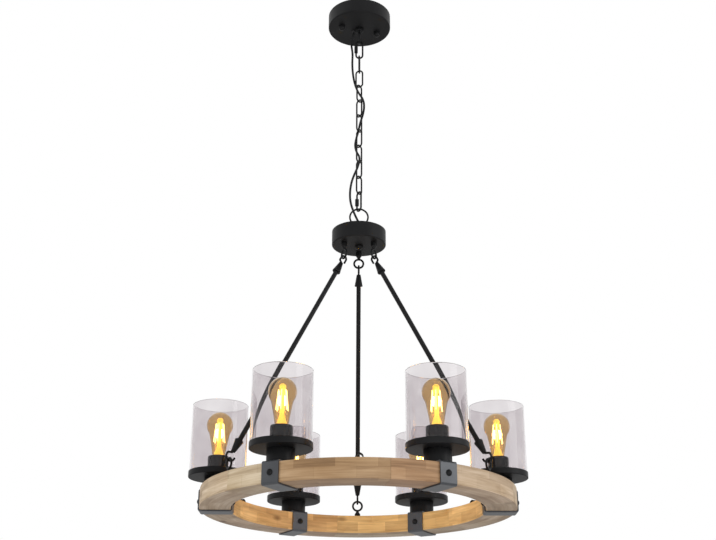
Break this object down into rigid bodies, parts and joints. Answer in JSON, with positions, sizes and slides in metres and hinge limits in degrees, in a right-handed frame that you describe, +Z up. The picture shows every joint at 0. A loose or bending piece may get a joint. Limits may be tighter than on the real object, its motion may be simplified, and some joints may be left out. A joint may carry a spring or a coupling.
{
  "type": "chandelier",
  "caption": "Wagon wheel chandelier: open glass cylinder lamps on a strapped wooden ring, hung by hooked rods from a round hub, a chain and a ceiling canopy",
  "frame": {"origin": "middle of the two ceiling screw holes' circle, on the ceiling plane at the canopy's rim", "axes": "+Z up out of the ceiling mount, +X to the right and +Y away in the picture; the ring's own axis is Z"},
  "size_m": [0.701, 0.644, 1.2086],
  "materials": {
    "black_metal": "matte black powder coat",
    "ring_wood": "pale greyish tan, glued felloes with knots",
    "smoked_glass": "clear glass with a light violet-grey smoke tint",
    "amber_glass": "clear amber-tinted bulb glass",
    "bulb_brass": "bright screw cap",
    "gloss_black": "glossy black",
    "cord_black": "matte black round cord",
    "gland_plastic": "matte black",
    "terminal_plastic": "off-white",
    "zinc_steel": "plain zinc-plated steel"
  },
  "bodies": {
    "canopy_body": {"canopy_cap_nuts": "black_metal", "canopy_cord_gland": "gland_plastic", "canopy_cover": "black_metal", "canopy_loop": "black_metal", "canopy_loop_nut": "zinc_steel", "canopy_studs": "zinc_steel", "ceiling_crossbar": "zinc_steel", "mains_cord": "cord_black", "terminal_block": "terminal_plastic"},
    "upper_quick_link_body": {"upper_quick_link": "black_metal"},
    "chain_link_1_body": {"chain_link_1": "black_metal"},
    "chain_link_2_body": {"chain_link_2": "black_metal"},
    "chain_link_3_body": {"chain_link_3": "black_metal"},
    "chain_link_4_body": {"chain_link_4": "black_metal"},
    "chain_link_5_body": {"chain_link_5": "black_metal"},
    "chain_link_6_body": {"chain_link_6": "black_metal"},
    "chain_link_7_body": {"chain_link_7": "black_metal"},
    "chain_link_8_body": {"chain_link_8": "black_metal"},
    "chain_link_9_body": {"chain_link_9": "black_metal"},
    "lower_quick_link_body": {"lower_quick_link": "black_metal"},
    "fitting_body": {"bulb_caps": "bulb_brass", "bulb_glass_1": "amber_glass", "bulb_glass_2": "amber_glass", "bulb_glass_3": "amber_glass", "bulb_glass_4": "amber_glass", "bulb_glass_5": "amber_glass", "bulb_glass_6": "amber_glass", "gallery_dishes": "black_metal", "glass_shade_1": "smoked_glass", "glass_shade_2": "smoked_glass", "glass_shade_3": "smoked_glass", "glass_shade_4": "smoked_glass", "glass_shade_5": "smoked_glass", "glass_shade_6": "smoked_glass", "hub_cord_gland": "gland_plastic", "hub_cup": "black_metal", "hub_eye_bolts": "black_metal", "hub_eye_nuts": "zinc_steel", "hub_finial_nut": "black_metal", "hub_lid": "black_metal", "hub_loop": "black_metal", "lamp_spacer_cups": "black_metal", "lampholders": "gloss_black", "ring_clips": "black_metal", "ring_eye_bolts": "black_metal", "ring_straps": "black_metal", "rod_1_hooks": "black_metal", "rod_1_tube": "black_metal", "rod_2_hooks": "black_metal", "rod_2_tube": "black_metal", "rod_3_hooks": "black_metal", "rod_3_tube": "black_metal", "strap_screws": "black_metal", "wood_felloe_1": "ring_wood", "wood_felloe_2": "ring_wood", "wood_felloe_3": "ring_wood", "wood_felloe_4": "ring_wood", "wood_felloe_5": "ring_wood", "wood_felloe_6": "ring_wood"}
  },
  "joints": [
    {"name": "swing_1", "type": "hinge", "parent": "canopy_body", "child": "upper_quick_link_body", "pos_m": [0, 0, -0.075], "axis": [0, 1, 0], "range_deg": [-15, 15], "deforming": ["mains_cord"]},
    {"name": "swing_2", "type": "hinge", "parent": "upper_quick_link_body", "child": "chain_link_1_body", "pos_m": [0, 0, -0.1177], "axis": [1, 0, 0], "range_deg": [-15, 15]},
    {"name": "swing_3", "type": "hinge", "parent": "chain_link_1_body", "child": "chain_link_2_body", "pos_m": [0, 0, -0.1581], "axis": [-0.0872, -0.9962, 0], "range_deg": [-15, 15]},
    {"name": "swing_4", "type": "hinge", "parent": "chain_link_2_body", "child": "chain_link_3_body", "pos_m": [0, 0, -0.1987], "axis": [-0.9659, 0.2588, 0], "range_deg": [-15, 15]},
    {"name": "swing_5", "type": "hinge", "parent": "chain_link_3_body", "child": "chain_link_4_body", "pos_m": [0, 0, -0.2393], "axis": [0.6691, 0.7431, 0], "range_deg": [-15, 15]},
    {"name": "swing_6", "type": "hinge", "parent": "chain_link_4_body", "child": "chain_link_5_body", "pos_m": [0, 0, -0.2799], "axis": [0.7071, -0.7071, 0], "range_deg": [-15, 15]},
    {"name": "swing_7", "type": "hinge", "parent": "chain_link_5_body", "child": "chain_link_6_body", "pos_m": [0, 0, -0.3205], "axis": [-0.7071, -0.7071, 0], "range_deg": [-15, 15]},
    {"name": "swing_8", "type": "hinge", "parent": "chain_link_6_body", "child": "chain_link_7_body", "pos_m": [0, 0, -0.3611], "axis": [-0.7071, 0.7071, 0], "range_deg": [-15, 15]},
    {"name": "swing_9", "type": "hinge", "parent": "chain_link_7_body", "child": "chain_link_8_body", "pos_m": [0, 0, -0.4017], "axis": [0.7071, 0.7071, 0], "range_deg": [-15, 15]},
    {"name": "swing_10", "type": "hinge", "parent": "chain_link_8_body", "child": "chain_link_9_body", "pos_m": [0, 0, -0.4423], "axis": [0.7071, -0.7071, 0], "range_deg": [-15, 15]},
    {"name": "swing_11", "type": "hinge", "parent": "chain_link_9_body", "child": "lower_quick_link_body", "pos_m": [0, 0, -0.4829], "axis": [-0.7071, -0.7071, 0], "range_deg": [-15, 15]},
    {"name": "swing_12", "type": "hinge", "parent": "lower_quick_link_body", "child": "fitting_body", "pos_m": [0, 0, -0.5259], "axis": [-0.5736, 0.8192, 0], "range_deg": [-15, 15]}
  ]
}
